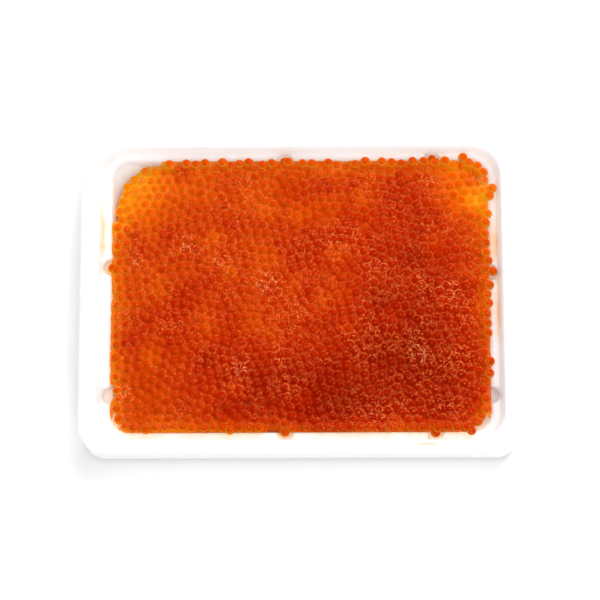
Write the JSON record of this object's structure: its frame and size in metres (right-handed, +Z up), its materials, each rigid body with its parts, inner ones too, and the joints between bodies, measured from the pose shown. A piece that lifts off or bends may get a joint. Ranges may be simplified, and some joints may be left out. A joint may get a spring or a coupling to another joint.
{
  "type": "salmon roe in a foam tray",
  "caption": "Salmon roe heaped level in a white rectangular foam tray with a lid recess, a narrow ledge, half-round grooves in the pit's edge and sloping corners.",
  "frame": {"origin": "centre of the tray's underside", "axes": "+Z up, +X along the tray's long side, -Y towards the picture's viewer"},
  "size_m": [0.24, 0.172, 0.043],
  "materials": {
    "foam": "moulded expanded polystyrene, white, satin skin with faint bead marks",
    "roe": null
  },
  "bodies": {
    "root": {"tray": "foam", "roe": "roe"}
  },
  "joints": []
}
